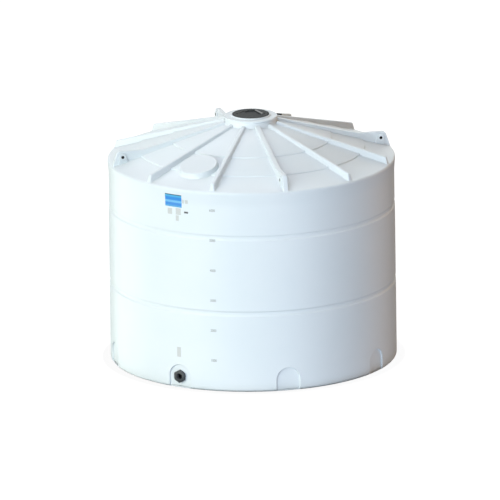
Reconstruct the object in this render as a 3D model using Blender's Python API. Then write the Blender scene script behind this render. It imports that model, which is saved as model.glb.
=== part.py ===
"""One-piece moulded polyethylene storage tank, upright, 3.58 m across.

Origin at the centre of the flat base, +Z up. The outlet faces -Y, which is the front.
Angles run round the tank from the front towards +X.
"""
import math
from math import cos, pi, radians, sin

import bmesh
import bpy
from mathutils import Matrix, Vector

# Driving dimensions, in metres
GAP = 0.0003
CLEAR = 0.050
WALL = 0.015
FACET = radians(5.625)

LOWER_RADIUS = 1.790
MIDDLE_RADIUS = 1.788
UPPER_RADIUS = 1.783
EAVE_RADIUS = 1.794
GROOVE_DEPTH = 0.012
LOWER_GROOVE_Z = 1.006
UPPER_GROOVE_Z = 1.978
GROOVE_HALF_HEIGHT = 0.034
GROOVE_FLOOR_HALF = 0.018
FOOT_ROUND = 0.035
WALL_TOP_Z = 2.400

FLOOR_RADIUS = 1.745
FLOOR_THICKNESS = 0.020

EAVE_Z = 2.523
EAVE_TOP = (1.790, 2.551)
ROOF_EDGE_RADIUS = 1.777
ROOF_EDGE_Z = 2.568
ROOF_SLOPE = 0.270
STEP_HEIGHT = 0.025
OUTER_STEP_RADIUS = 1.422
INNER_STEP_RADIUS = 1.012
STEP_RUN = 0.008
ROOF_BORE = 0.310

RIB_COUNT = 12
RIB_BASE_WIDTH = 0.076
RIB_TOP_WIDTH = 0.056
RIB_START = 0.3565
RIB_TOP_RADIUS = 1.750
RIB_FOOT_RADIUS = 1.776
RIB_TOP_Z = 2.662
RIB_TOP_SLOPE = 0.266
RIB_ROUND = 0.010

LUG_ANGLES = (45, 135, 225, 315)
LUG_TOP_Z = 2.768
LUG_START = RIB_TOP_RADIUS - (LUG_TOP_Z - RIB_TOP_Z) / RIB_TOP_SLOPE
LUG_TOP_RADIUS = 1.726
LUG_CORNER = (0.022, 0.016)
LUG_FOOT_RADIUS = 1.786
LUG_WIDTH = 0.062
LUG_HOLE_RADIUS = 0.017
LUG_HOLE_CENTRE = (1.660, 2.690)
LUG_BOSS_RADIUS = 0.048
LUG_BOSS_WIDTH = 0.084
LUG_BOSS_SPREAD = 0.024
LUG_BOSS_LIP = 0.004

ARCH_COUNT = 8
ARCH_HALF_WIDTH = 0.1475
ARCH_SPRING_Z = 0.150
ARCH_PLANE = 1.765
ARCH_STEPS = 10

CROWN_FOOT_RADIUS = 0.355
CROWN_RIM_RADIUS = 0.332
CROWN_TOP_Z = 3.111
CROWN_RIM_HEIGHT = 0.045
CROWN_EDGE = 0.010
CROWN_WALL = 0.016
LID_RADIUS = 0.229
LID_SEAT_Z = 3.099
LID_REBATE_RADIUS = 0.235
THROAT_RADIUS = 0.205
THROAT_BOTTOM_Z = 3.022

LID_TOP_Z = 3.116
LID_EDGE = 0.006
LID_RECESS_RADIUS = 0.140
LID_RECESS = 0.014
LID_SKIRT_RADIUS = 0.198
LID_SKIRT_WALL = 0.008
LID_SKIRT_Z = 3.045
LID_PLATE = 0.005
LID_BAR_WIDTH = 0.022
LID_BAR_RISE = 0.006
LONG_BAR = ((0.067, 0.087), 0.205, -33.5)
SHORT_BAR = ((-0.069, 0.115), 0.075, 31.0)
POCKET_PLACE = 0.170
POCKET_ANGLE = 31.0
POCKET_RADIUS = 0.018
POCKET_DEPTH = 0.010
LID_VENT_PLACE = (-0.099, 0.056)
LID_VENT_RADIUS = 0.016
LID_VENT_HEIGHT = 0.014

PAD_RADIUS_ON_ROOF = 1.312
PAD_ANGLE = radians(1.0)
PAD_TOP_RADIUS = 0.227
PAD_BASE_RADIUS = 0.266
PAD_HEIGHT = 0.068
PAD_EDGE = (0.014, 0.010)
PAD_DEPTH = 0.060

VENT_PLACE = 0.680
VENT_RADIUS = 0.043
VENT_CAP_RADIUS = 0.034
VENT_HEIGHT = 0.046
VENT_EDGE = 0.006

OUTLET_Z = 0.148
OUTLET_CORNER_RADIUS = 0.084
OUTLET_BARREL_RADIUS = 0.056
OUTLET_BORE_RADIUS = 0.038
OUTLET_FLANGE = 0.032
GASKET_RADIUS = 0.074
GASKET = 0.005
NUT = 0.022
BARREL_PAST_NUT = 0.014
BORE_SIDES = 24


def clear_scene():
    for item in list(bpy.data.objects):
        bpy.data.objects.remove(item, do_unlink=True)


def make_material(name, colour, roughness):
    material = bpy.data.materials.new(name)
    material.use_nodes = True
    shader = material.node_tree.nodes["Principled BSDF"]
    shader.inputs["Base Color"].default_value = (*colour, 1.0)
    shader.inputs["Roughness"].default_value = roughness
    shader.inputs["Metallic"].default_value = 0.0
    return material


def round_place(radius, z, angle=0.0):
    """A point at a radius and height, at an angle from the front towards +X."""
    return Vector((radius * sin(angle), -radius * cos(angle), z))


def add_object(name, bm, material, smooth_angle=None):
    bmesh.ops.recalc_face_normals(bm, faces=bm.faces)
    mesh = bpy.data.meshes.new(name)
    bm.to_mesh(mesh)
    bm.free()
    if smooth_angle:
        mesh.shade_smooth()
        mesh.set_sharp_from_angle(angle=radians(smooth_angle))
    obj = bpy.data.objects.new(name, mesh)
    bpy.context.scene.collection.objects.link(obj)
    if material:
        mesh.materials.append(material)
    return obj


def apply_boolean(obj, cutter, operation):
    """Join or cut with a second solid, which is removed afterwards."""
    modifier = obj.modifiers.new(operation.lower(), "BOOLEAN")
    modifier.solver = "EXACT"
    modifier.operation = operation
    modifier.object = cutter
    cutter.hide_render = True
    cutter.display_type = "WIRE"
    depsgraph = bpy.context.evaluated_depsgraph_get()
    mesh = bpy.data.meshes.new_from_object(obj.evaluated_get(depsgraph))
    obj.modifiers.remove(modifier)
    old = obj.data
    mesh.name = old.name
    obj.data = mesh
    bpy.data.meshes.remove(old)
    bpy.data.objects.remove(cutter, do_unlink=True)


def turned(name, profile, material, start=0.0, sweep=2 * pi, steps=48, smooth_angle=35):
    """Turn a closed outline of (radius, height) points about the Z axis."""
    bm = bmesh.new()
    outline = [bm.verts.new(round_place(radius, z, start)) for radius, z in profile]
    full = abs(sweep - 2 * pi) < 1e-9
    if full:
        edges = [bm.edges.new(pair) for pair in zip(outline, outline[1:] + outline[:1])]
        bmesh.ops.spin(bm, geom=outline + edges, axis=(0, 0, 1), cent=(0, 0, 0),
                       angle=sweep, steps=steps, use_merge=True)
        bmesh.ops.remove_doubles(bm, verts=bm.verts, dist=1e-6)
        bmesh.ops.dissolve_degenerate(bm, edges=bm.edges, dist=1e-6)
    else:
        face = bm.faces.new(outline)
        bmesh.ops.spin(bm, geom=outline + list(face.edges) + [face], axis=(0, 0, 1),
                       cent=(0, 0, 0), angle=sweep, steps=steps)
    return add_object(name, bm, material, smooth_angle)


def extrude_face(bm, vector):
    """Turn a mesh of one flat face into a solid."""
    grown = bmesh.ops.extrude_face_region(bm, geom=bm.faces[:])["geom"]
    moved = [item for item in grown if isinstance(item, bmesh.types.BMVert)]
    bmesh.ops.translate(bm, verts=moved, vec=vector)


def prism(name, outline, low, high, material=None):
    """Extrude a closed outline of (x, z) points along Y, from low to high."""
    bm = bmesh.new()
    bm.faces.new([bm.verts.new((x, low, z)) for x, z in outline])
    extrude_face(bm, (0, high - low, 0))
    return add_object(name, bm, material)


def cylinder(name, radius, length, place, sides, material=None):
    """A cylinder along the Z axis of its place, which is the middle of its length."""
    bm = bmesh.new()
    bmesh.ops.create_cone(bm, cap_ends=True, segments=sides, radius1=radius, radius2=radius,
                          depth=length, matrix=place)
    return add_object(name, bm, material)


def turn_about_axis(obj, angle):
    obj.data.transform(Matrix.Rotation(angle, 4, "Z"))
    obj.data.update()


def gap_angle(radius):
    """The angle that leaves half of the standard gap at this radius."""
    return GAP / 2 / radius


def roof_height(radius):
    """Height of the roof's upper face at a radius."""
    height = ROOF_EDGE_Z + ROOF_SLOPE * (ROOF_EDGE_RADIUS - radius)
    for step in (OUTER_STEP_RADIUS, INNER_STEP_RADIUS):
        inward = (step - radius) / STEP_RUN
        height += STEP_HEIGHT * min(1.0, max(0.0, inward))
    return height


def roof_line(outer, inner):
    """Points of the roof's upper face from an outer to an inner radius."""
    breaks = []
    for step in (OUTER_STEP_RADIUS, INNER_STEP_RADIUS):
        breaks += [step, step - STEP_RUN]
    radii = [outer] + [radius for radius in breaks if inner < radius < outer] + [inner]
    return [(radius, roof_height(radius)) for radius in radii]


def raised(points, amount):
    return [(radius, z + amount) for radius, z in points]


def shell_outline(outer, wall):
    """Close an outer line into a wall, by moving a copy of it inward."""
    return outer + [(radius - wall, z) for radius, z in reversed(outer)]


# Walls

def foot_rounding(inward=0.0):
    """The rounded outer foot of the wall, moved inward by an amount."""
    corner = LOWER_RADIUS - FOOT_ROUND - inward
    return [(corner + FOOT_ROUND * sin(a), FOOT_ROUND - FOOT_ROUND * cos(a))
            for a in (0.0, radians(45), radians(90))]


def wall_core_outline():
    """Everything inside the middle of the lower wall, as high as the wall flats need."""
    inner = ARCH_PLANE - 4 * WALL
    top = ARCH_SPRING_Z + ARCH_HALF_WIDTH + 4 * WALL
    rounding = foot_rounding(WALL / 3)
    return [(inner, 0.0)] + rounding + [(rounding[-1][0], top), (inner, top)]


def lower_wall_outline():
    top = LOWER_GROOVE_Z - GAP / 2
    bend = LOWER_GROOVE_Z - GROOVE_HALF_HEIGHT
    floor = LOWER_GROOVE_Z - GROOVE_FLOOR_HALF
    foot = FLOOR_RADIUS + GAP
    corner = LOWER_RADIUS - FOOT_ROUND
    rounding = foot_rounding()
    straight = [(LOWER_RADIUS, bend), (LOWER_RADIUS - GROOVE_DEPTH, floor),
                (LOWER_RADIUS - GROOVE_DEPTH, top)]
    inner = [(radius - WALL, z) for radius, z in reversed(straight)]
    inside_foot = [(LOWER_RADIUS - WALL, FOOT_ROUND), (corner + WALL / 2, FLOOR_THICKNESS),
                   (foot, FLOOR_THICKNESS)]
    return [(foot, 0.0)] + rounding + straight + inner + inside_foot


def middle_wall_outline():
    low = LOWER_GROOVE_Z + GAP / 2
    high = UPPER_GROOVE_Z - GAP / 2
    outer = [(LOWER_RADIUS - GROOVE_DEPTH, low),
             (LOWER_RADIUS - GROOVE_DEPTH, LOWER_GROOVE_Z + GROOVE_FLOOR_HALF),
             (MIDDLE_RADIUS, LOWER_GROOVE_Z + GROOVE_HALF_HEIGHT),
             (MIDDLE_RADIUS, UPPER_GROOVE_Z - GROOVE_HALF_HEIGHT),
             (MIDDLE_RADIUS - GROOVE_DEPTH, UPPER_GROOVE_Z - GROOVE_FLOOR_HALF),
             (MIDDLE_RADIUS - GROOVE_DEPTH, high)]
    return shell_outline(outer, WALL)


def upper_wall_outline():
    outer = [(MIDDLE_RADIUS - GROOVE_DEPTH, UPPER_GROOVE_Z + GAP / 2),
             (MIDDLE_RADIUS - GROOVE_DEPTH, UPPER_GROOVE_Z + GROOVE_FLOOR_HALF),
             (UPPER_RADIUS, UPPER_GROOVE_Z + GROOVE_HALF_HEIGHT),
             (UPPER_RADIUS, WALL_TOP_Z)]
    return shell_outline(outer, WALL)


def roof_outline():
    eave = [(UPPER_RADIUS, WALL_TOP_Z + GAP), (EAVE_RADIUS, EAVE_Z), EAVE_TOP]
    upper = roof_line(ROOF_EDGE_RADIUS, ROOF_BORE)
    under = raised(reversed(roof_line(ROOF_EDGE_RADIUS - WALL, ROOF_BORE)), -WALL)
    inner_eave = [(EAVE_RADIUS - WALL, EAVE_Z), (UPPER_RADIUS - WALL, WALL_TOP_Z + GAP)]
    return eave + upper + under + inner_eave


def arch_outline(margin):
    """The outline of a wall flat, grown by a margin, from below the floor to its crown."""
    radius = ARCH_HALF_WIDTH + margin
    low = 0.0 if margin else -CLEAR
    arc = [(radius * cos(pi * k / ARCH_STEPS), ARCH_SPRING_Z + radius * sin(pi * k / ARCH_STEPS))
           for k in range(ARCH_STEPS + 1)]
    return [(radius, low)] + arc + [(-radius, low)]


def make_lower_wall(material):
    sweep = 2 * pi / ARCH_COUNT
    edge = gap_angle(FLOOR_RADIUS)
    for k in range(ARCH_COUNT):
        angle = k * sweep
        arc = {"start": angle - sweep / 2 + edge, "sweep": sweep - 2 * edge,
               "steps": round(sweep / FACET)}
        wall = turned(f"lower_wall_{k + 1}", lower_wall_outline(), material, **arc)
        backing = prism("backing", arch_outline(WALL), -LOWER_RADIUS, -(ARCH_PLANE - WALL))
        turn_about_axis(backing, angle)
        apply_boolean(backing, turned("core", wall_core_outline(), None, **arc), "INTERSECT")
        apply_boolean(wall, backing, "UNION")
        pocket = prism("pocket", arch_outline(0.0), -(LOWER_RADIUS + CLEAR), -ARCH_PLANE)
        turn_about_axis(pocket, angle)
        apply_boolean(wall, pocket, "DIFFERENCE")
        if k == 0:
            apply_boolean(wall, outlet_bore(OUTLET_BARREL_RADIUS + GAP), "DIFFERENCE")


def make_quadrants(label, outline, material, radius):
    sweep = pi / 2
    edge = gap_angle(radius)
    for k, side in enumerate(("front", "right", "back", "left")):
        turned(f"{label}_{side}", outline, material, start=k * sweep - sweep / 2 + edge,
               sweep=sweep - 2 * edge, steps=round(sweep / FACET))


def make_floor(material):
    bm = bmesh.new()
    bmesh.ops.create_circle(bm, cap_ends=True, radius=FLOOR_RADIUS,
                            segments=round(2 * pi / FACET), matrix=Matrix.Rotation(-pi / 2, 4, "Z"))
    extrude_face(bm, (0, 0, FLOOR_THICKNESS))
    add_object("tank_floor", bm, material)


# Ribs and lugs

def rib_bar(name, outline, base_points, width_low, width_high, material):
    """A bar on the front line: the first base_points of the outline are its foot."""
    bm = bmesh.new()
    sides = []
    for side in (-1, 1):
        ring = []
        for k, (radius, z) in enumerate(outline):
            width = width_low if k < base_points else width_high
            ring.append(bm.verts.new((side * width / 2, -radius, z)))
        sides.append(bm.faces.new(ring))
    bmesh.ops.bridge_loops(bm, edges=list(sides[0].edges) + list(sides[1].edges))
    bmesh.ops.recalc_face_normals(bm, faces=bm.faces)
    top = [edge for edge in bm.edges if is_upper_edge(edge, base_points, outline)]
    bmesh.ops.bevel(bm, geom=top, offset=RIB_ROUND, segments=2, profile=0.5,
                    affect="EDGES", material=-1)
    return add_object(name, bm, material, 35)


def is_upper_edge(edge, base_points, outline):
    """True for the long upper edges of a bar, which are rounded."""
    heights = {round(z, 5) for _, z in outline[base_points:]}
    first, second = edge.verts
    along = abs(first.co.x - second.co.x) < 1e-6
    return along and all(round(vert.co.z, 5) in heights for vert in edge.verts)


def rib_top(radius):
    return RIB_TOP_Z + RIB_TOP_SLOPE * (RIB_TOP_RADIUS - radius)


def rib_outline(end, end_top):
    """The side of a rib, and how many of its points are its foot."""
    foot = raised(roof_line(end, RIB_START), GAP)
    top = [(RIB_START, rib_top(RIB_START)), (end_top, rib_top(end_top))]
    return foot + top, len(foot)


def make_ribs(material):
    for k in range(RIB_COUNT):
        angle = radians(15 + 30 * k)
        with_lug = 15 + 30 * k in LUG_ANGLES
        if with_lug:
            outline, base = rib_outline(LUG_START - GAP, LUG_START - GAP)
        else:
            outline, base = rib_outline(RIB_FOOT_RADIUS, RIB_TOP_RADIUS)
        rib = rib_bar(f"roof_rib_{k + 1}", outline, base, RIB_BASE_WIDTH, RIB_TOP_WIDTH, material)
        turn_about_axis(rib, angle)


def lug_outline():
    """The side of a lug, which starts flat where its rib has come down to its height.

    Its foot runs out over the roof's edge and a little way down the sloping rim."""
    edge, low = EAVE_TOP
    down = (LUG_FOOT_RADIUS - ROOF_EDGE_RADIUS) / (edge - ROOF_EDGE_RADIUS)
    on_rim = (LUG_FOOT_RADIUS, ROOF_EDGE_Z + down * (low - ROOF_EDGE_Z) + 2 * GAP)
    foot = [on_rim] + raised(roof_line(ROOF_EDGE_RADIUS, LUG_START), 1.3 * GAP)
    run, drop = LUG_CORNER
    top = [(LUG_START, LUG_TOP_Z), (LUG_TOP_RADIUS - run, LUG_TOP_Z),
           (LUG_TOP_RADIUS, LUG_TOP_Z - drop)]
    return foot + top, len(foot)


def boss_outline():
    """The raised patch round a lug's hole: a round head on a foot that spreads inward."""
    radius, z = LUG_HOLE_CENTRE
    outer = radius + LUG_BOSS_RADIUS + LUG_BOSS_LIP
    inner = radius - LUG_BOSS_RADIUS - LUG_BOSS_SPREAD
    arc = [(radius + LUG_BOSS_RADIUS * cos(a), z + LUG_BOSS_RADIUS * sin(a))
           for a in [pi * k / 8 for k in range(9)]]
    foot = [(inner, roof_height(inner) + 2 * GAP), (outer, roof_height(outer) + 2 * GAP)]
    return foot + arc


def make_lugs(material):
    for k, degrees in enumerate(LUG_ANGLES):
        outline, base = lug_outline()
        lug = rib_bar(f"tie_down_lug_{k + 1}", outline, base, RIB_BASE_WIDTH, LUG_WIDTH, material)
        boss = prism("boss", [(-radius, z) for radius, z in boss_outline()],
                     -LUG_BOSS_WIDTH / 2, LUG_BOSS_WIDTH / 2)
        boss.data.transform(Matrix.Rotation(pi / 2, 4, "Z"))
        apply_boolean(lug, boss, "UNION")
        apply_boolean(lug, lug_hole(), "DIFFERENCE")
        turn_about_axis(lug, radians(degrees))


def lug_hole():
    radius, z = LUG_HOLE_CENTRE
    place = Matrix.Translation((0, -radius, z)) @ Matrix.Rotation(pi / 2, 4, "Y")
    return cylinder("hole", LUG_HOLE_RADIUS, LUG_BOSS_WIDTH + CLEAR, place, 16)


# Crown, lid and roof fittings

def make_collar(material):
    top = CROWN_TOP_Z
    foot = raised(roof_line(CROWN_FOOT_RADIUS, CROWN_FOOT_RADIUS - CROWN_WALL), 1.3 * GAP)
    neck = CROWN_RIM_RADIUS - CROWN_WALL
    edge = CROWN_EDGE
    outline = [foot[0], (CROWN_RIM_RADIUS, top - CROWN_RIM_HEIGHT), (CROWN_RIM_RADIUS, top - edge),
               (CROWN_RIM_RADIUS - edge, top), (LID_REBATE_RADIUS, top),
               (LID_REBATE_RADIUS, LID_SEAT_Z), (THROAT_RADIUS, LID_SEAT_Z),
               (THROAT_RADIUS, THROAT_BOTTOM_Z), (THROAT_RADIUS + CROWN_WALL, THROAT_BOTTOM_Z),
               (THROAT_RADIUS + CROWN_WALL, LID_SEAT_Z - CROWN_WALL),
               (neck, LID_SEAT_Z - CROWN_WALL), foot[-1]]
    turned("crown_collar", outline, material)


def lid_bar(bar):
    """A straight grip that stands in the lid's recess: its middle, length and direction."""
    (x, y), length, degrees = bar
    low = LID_TOP_Z - LID_RECESS - LID_PLATE / 2
    high = LID_TOP_Z + LID_BAR_RISE
    size = Matrix.Diagonal((length, LID_BAR_WIDTH, high - low, 1.0))
    bm = bmesh.new()
    place = Matrix.Translation((x, y, (low + high) / 2))
    turn = Matrix.Rotation(radians(degrees), 4, "Z")
    bmesh.ops.create_cube(bm, size=1.0, matrix=place @ turn @ size)
    return add_object("bar", bm, None)


def lid_pocket(degrees):
    """A round finger hole in the lid's rim."""
    turn = Matrix.Rotation(radians(degrees), 4, "Z")
    place = turn @ Matrix.Translation((POCKET_PLACE, 0, LID_TOP_Z + CLEAR / 2 - POCKET_DEPTH))
    return cylinder("pocket", POCKET_RADIUS, CLEAR, place, 16)


def make_lid(material):
    top = LID_TOP_Z
    under = LID_SEAT_Z + GAP
    recess = top - LID_RECESS
    plate = recess - LID_PLATE
    skirt = LID_SKIRT_RADIUS - LID_SKIRT_WALL
    outline = [(0.0, recess), (LID_RECESS_RADIUS - LID_EDGE, recess), (LID_RECESS_RADIUS, top),
               (LID_RADIUS - LID_EDGE, top), (LID_RADIUS, top - LID_EDGE), (LID_RADIUS, under),
               (LID_SKIRT_RADIUS, under), (LID_SKIRT_RADIUS, LID_SKIRT_Z), (skirt, LID_SKIRT_Z),
               (skirt, plate), (0.0, plate)]
    lid = turned("manway_lid", outline, material)
    for bar in (LONG_BAR, SHORT_BAR):
        apply_boolean(lid, lid_bar(bar), "UNION")
    for half_turn in (0, 180):
        apply_boolean(lid, lid_pocket(POCKET_ANGLE + half_turn), "DIFFERENCE")
    seat = recess + GAP
    head = seat + LID_VENT_HEIGHT
    knob = [(0.0, seat), (LID_VENT_RADIUS, seat), (LID_VENT_RADIUS, head), (0.0, head)]
    vent = turned("lid_vent", knob, material, steps=16)
    vent.data.transform(Matrix.Translation((*LID_VENT_PLACE, 0)))


def slope_frame(radius, angle, lift):
    """A frame on the roof's upper face, its Z along the face's normal."""
    place = round_place(radius, roof_height(radius) + lift, angle)
    tilt = Matrix.Rotation(math.atan(ROOF_SLOPE), 4, "X")
    return Matrix.Translation(place) @ Matrix.Rotation(angle, 4, "Z") @ tilt


def roof_cutter():
    """A solid that fills everything under the roof's upper face near the front."""
    line = raised(roof_line(ROOF_EDGE_RADIUS, ROOF_BORE), GAP)
    low = WALL_TOP_Z - CLEAR
    outline = line + [(ROOF_BORE, low), (ROOF_EDGE_RADIUS, low)]
    return turned("roof_cutter", outline, None, start=-4 * FACET, sweep=8 * FACET, steps=8)


def make_pad(material):
    """A round cap, open below, whose skirt is cut off where it meets the roof."""
    run, drop = PAD_EDGE
    outer_top = [(0.0, PAD_HEIGHT), (PAD_TOP_RADIUS - run, PAD_HEIGHT),
                 (PAD_TOP_RADIUS, PAD_HEIGHT - drop), (PAD_BASE_RADIUS, 0.0),
                 (PAD_BASE_RADIUS, -PAD_DEPTH)]
    inner = [(PAD_BASE_RADIUS - WALL, -PAD_DEPTH), (PAD_BASE_RADIUS - WALL, 0.0),
             (PAD_TOP_RADIUS - WALL, PAD_HEIGHT - WALL), (0.0, PAD_HEIGHT - WALL)]
    pad = turned("roof_pad", outer_top + inner, material)
    pad.data.transform(slope_frame(PAD_RADIUS_ON_ROOF, PAD_ANGLE, 0.0))
    apply_boolean(pad, roof_cutter(), "DIFFERENCE")


def make_roof_vent(material):
    """A round breather cap on a wider foot, behind the crown."""
    cap = VENT_CAP_RADIUS
    outline = [(0.0, GAP), (VENT_RADIUS, GAP), (VENT_RADIUS, VENT_HEIGHT / 3),
               (cap, VENT_HEIGHT / 3), (cap, VENT_HEIGHT - VENT_EDGE),
               (cap - VENT_EDGE, VENT_HEIGHT), (0.0, VENT_HEIGHT)]
    vent = turned("rear_vent", outline, material, steps=24)
    vent.data.transform(slope_frame(VENT_PLACE, pi, 0.0))


# Outlet

def outlet_cylinder(name, radius, near, far, sides, material=None):
    """A cylinder on the outlet's line, between two distances from the tank's axis."""
    turn = Matrix.Rotation(pi / 2, 4, "X")
    place = Matrix.Translation((0, -(near + far) / 2, OUTLET_Z)) @ turn
    return cylinder(name, radius, far - near, place, sides, material)


def outlet_bore(radius):
    """A cutter through the wall and everything on the outlet's line."""
    return outlet_cylinder("bore", radius, ARCH_PLANE - 3 * CLEAR, ARCH_PLANE + 3 * CLEAR,
                           BORE_SIDES)


def make_outlet(black, rubber):
    """The body with its long barrel and a gasket outside, and the nut inside the wall."""
    outside = ARCH_PLANE + GAP
    inside = ARCH_PLANE - WALL - GAP
    seat = outside + GASKET + GAP
    through = OUTLET_BARREL_RADIUS + GAP
    gasket = outlet_cylinder("outlet_gasket", GASKET_RADIUS, outside, outside + GASKET,
                             BORE_SIDES, rubber)
    fitting = outlet_cylinder("outlet_fitting", OUTLET_CORNER_RADIUS, seat, seat + OUTLET_FLANGE,
                              6, black)
    barrel = outlet_cylinder("barrel", OUTLET_BARREL_RADIUS, inside - NUT - BARREL_PAST_NUT,
                             seat + OUTLET_FLANGE / 3, BORE_SIDES)
    nut = outlet_cylinder("outlet_nut", OUTLET_CORNER_RADIUS, inside - NUT, inside, 6, black)
    apply_boolean(fitting, barrel, "UNION")
    for piece, radius in ((gasket, through), (fitting, OUTLET_BORE_RADIUS), (nut, through)):
        apply_boolean(piece, outlet_bore(radius), "DIFFERENCE")


def main():
    clear_scene()
    white = make_material("natural_white_polyethylene", (0.80, 0.87, 0.93), 0.42)
    black = make_material("black_polypropylene", (0.012, 0.012, 0.013), 0.45)
    rubber = make_material("black_rubber", (0.015, 0.015, 0.015), 0.80)
    make_floor(white)
    make_lower_wall(white)
    make_quadrants("middle_wall", middle_wall_outline(), white, FLOOR_RADIUS)
    make_quadrants("upper_wall", upper_wall_outline(), white, FLOOR_RADIUS)
    make_quadrants("roof", roof_outline(), white, ROOF_BORE)
    make_ribs(white)
    make_lugs(white)
    make_collar(white)
    make_lid(black)
    make_pad(white)
    make_roof_vent(black)
    make_outlet(black, rubber)


main()
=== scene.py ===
# %% [markdown]
# A vertical storage tank, 3.6 m across, moulded in one piece from white polyethylene.
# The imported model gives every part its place: its origin is the centre of the flat base,
# and the outlet faces -Y. This script rounds and finishes what that model holds as plain
# solids, so it starts by loading the frame and keeping the size that the frame has.

# %% Load the frame
from math import asin, atan, cos, hypot, pi, radians, sin, sqrt

import bmesh
import bpy
from mathutils import Matrix, Vector


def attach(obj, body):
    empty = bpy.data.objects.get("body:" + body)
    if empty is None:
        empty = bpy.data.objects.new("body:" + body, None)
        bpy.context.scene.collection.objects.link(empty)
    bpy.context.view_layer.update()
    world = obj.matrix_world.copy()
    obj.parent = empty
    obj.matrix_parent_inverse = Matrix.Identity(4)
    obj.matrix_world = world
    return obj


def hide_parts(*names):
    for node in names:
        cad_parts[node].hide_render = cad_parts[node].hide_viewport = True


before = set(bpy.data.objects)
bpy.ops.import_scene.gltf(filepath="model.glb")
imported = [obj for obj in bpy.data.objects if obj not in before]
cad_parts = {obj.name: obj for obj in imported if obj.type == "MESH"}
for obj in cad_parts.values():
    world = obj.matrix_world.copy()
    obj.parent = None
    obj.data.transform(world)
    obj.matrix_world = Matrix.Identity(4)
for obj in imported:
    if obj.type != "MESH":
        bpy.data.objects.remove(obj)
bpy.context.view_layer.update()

# %% [markdown]
# A product shot like this one is taken from far away with a long lens, so the tank's sides
# stay almost parallel. The camera could be aimed with a constraint, but its place and its
# axes are known, so they are written straight into its matrix: the view is a little left
# of the tank's front, looks down about 15 degrees, and leans by two thirds of a degree.

# %% The camera
CAMERA_PLACE = Vector((124.857, -206.408, 66.925))
CAMERA_FORWARD = Vector((-0.499559, 0.825609, -0.262319))
CAMERA_UP = Vector((-0.124742, 0.231097, 0.964901))
FOCAL_LENGTH = 1440.1
SENSOR = 36.0
SIGHT = 700.0


def make_camera():
    camera = bpy.data.objects.new("camera", bpy.data.cameras.new("camera"))
    forward = CAMERA_FORWARD.normalized()
    right = forward.cross(CAMERA_UP).normalized()
    up = right.cross(forward)
    turn = Matrix((right, up, -forward)).transposed().to_4x4()
    camera.matrix_world = Matrix.Translation(CAMERA_PLACE) @ turn
    camera.data.sensor_fit = "HORIZONTAL"
    camera.data.sensor_width = SENSOR
    camera.data.lens = FOCAL_LENGTH
    camera.data.clip_end = SIGHT
    bpy.context.scene.collection.objects.link(camera)
    bpy.context.scene.camera = camera
    return camera


camera = make_camera()
print("camera at", [round(value, 2) for value in camera.location])

# %% [markdown]
# Natural polyethylene comes out of the mould white with a cool cast, satin rather than
# glossy, with a fine orange-peel skin and slow waves where the wall cooled unevenly. An
# image could carry that, but noise in the shader does it without seams and at any
# distance: one noise for the peel, one for the waves, and a faint one for the colour.

# %% Helpers for materials
def add_node(tree, kind, **inputs):
    node = tree.nodes.new(kind)
    for label, value in inputs.items():
        node.inputs[label.replace("_", " ")].default_value = value
    return node


def noise(tree, scale, detail=3.0, roughness=0.5):
    """A noise of a number of bumps per metre, read in Object coordinates."""
    place = next((node for node in tree.nodes if node.type == "TEX_COORD"), None)
    place = place or tree.nodes.new("ShaderNodeTexCoord")
    texture = add_node(tree, "ShaderNodeTexNoise", Scale=scale, Detail=detail,
                       Roughness=roughness)
    tree.links.new(place.outputs["Object"], texture.inputs["Vector"])
    return texture.outputs["Fac"]


def spread(tree, source, low, high, centre=0.5, reach=0.25):
    """Turn a noise's middle range into values from low to high."""
    node = add_node(tree, "ShaderNodeMapRange")
    node.inputs["From Min"].default_value = centre - reach
    node.inputs["From Max"].default_value = centre + reach
    node.inputs["To Min"].default_value = low
    node.inputs["To Max"].default_value = high
    tree.links.new(source, node.inputs["Value"])
    return node.outputs["Result"]


def two_tone(tree, factor, first, second):
    node = tree.nodes.new("ShaderNodeMix")
    node.data_type = "RGBA"
    node.inputs[6].default_value = (*first, 1.0)
    node.inputs[7].default_value = (*second, 1.0)
    tree.links.new(factor, node.inputs[0])
    return node.outputs[2]


def add_bumps(tree, shader, layers):
    """Stack bumps on a shader: each layer is a height source and its depth in metres."""
    normal = None
    for height, depth in layers:
        bump = add_node(tree, "ShaderNodeBump", Strength=1.0, Distance=depth)
        tree.links.new(height, bump.inputs["Height"])
        if normal:
            tree.links.new(normal, bump.inputs["Normal"])
        normal = bump.outputs["Normal"]
    tree.links.new(normal, shader.inputs["Normal"])


def new_material(name):
    material = bpy.data.materials.new(name)
    material.use_nodes = True
    return material, material.node_tree, material.node_tree.nodes["Principled BSDF"]


# %% White polyethylene
def make_white():
    material, tree, shader = new_material("natural_white_polyethylene")
    cloud = spread(tree, noise(tree, 1.7, 2.0), 0.0, 1.0)
    shade = two_tone(tree, cloud, (0.600, 0.652, 0.682), (0.626, 0.667, 0.694))
    tree.links.new(shade, shader.inputs["Base Color"])
    gloss = spread(tree, noise(tree, 9.0, 3.0), 0.38, 0.48)
    tree.links.new(gloss, shader.inputs["Roughness"])
    shader.inputs["Specular IOR Level"].default_value = 0.38
    peel = noise(tree, 140.0, 2.0)
    waves = noise(tree, 1.3, 1.0)
    add_bumps(tree, shader, [(waves, 0.004), (peel, 0.00012)])
    return material


white = make_white()
print("made", white.name)
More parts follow.
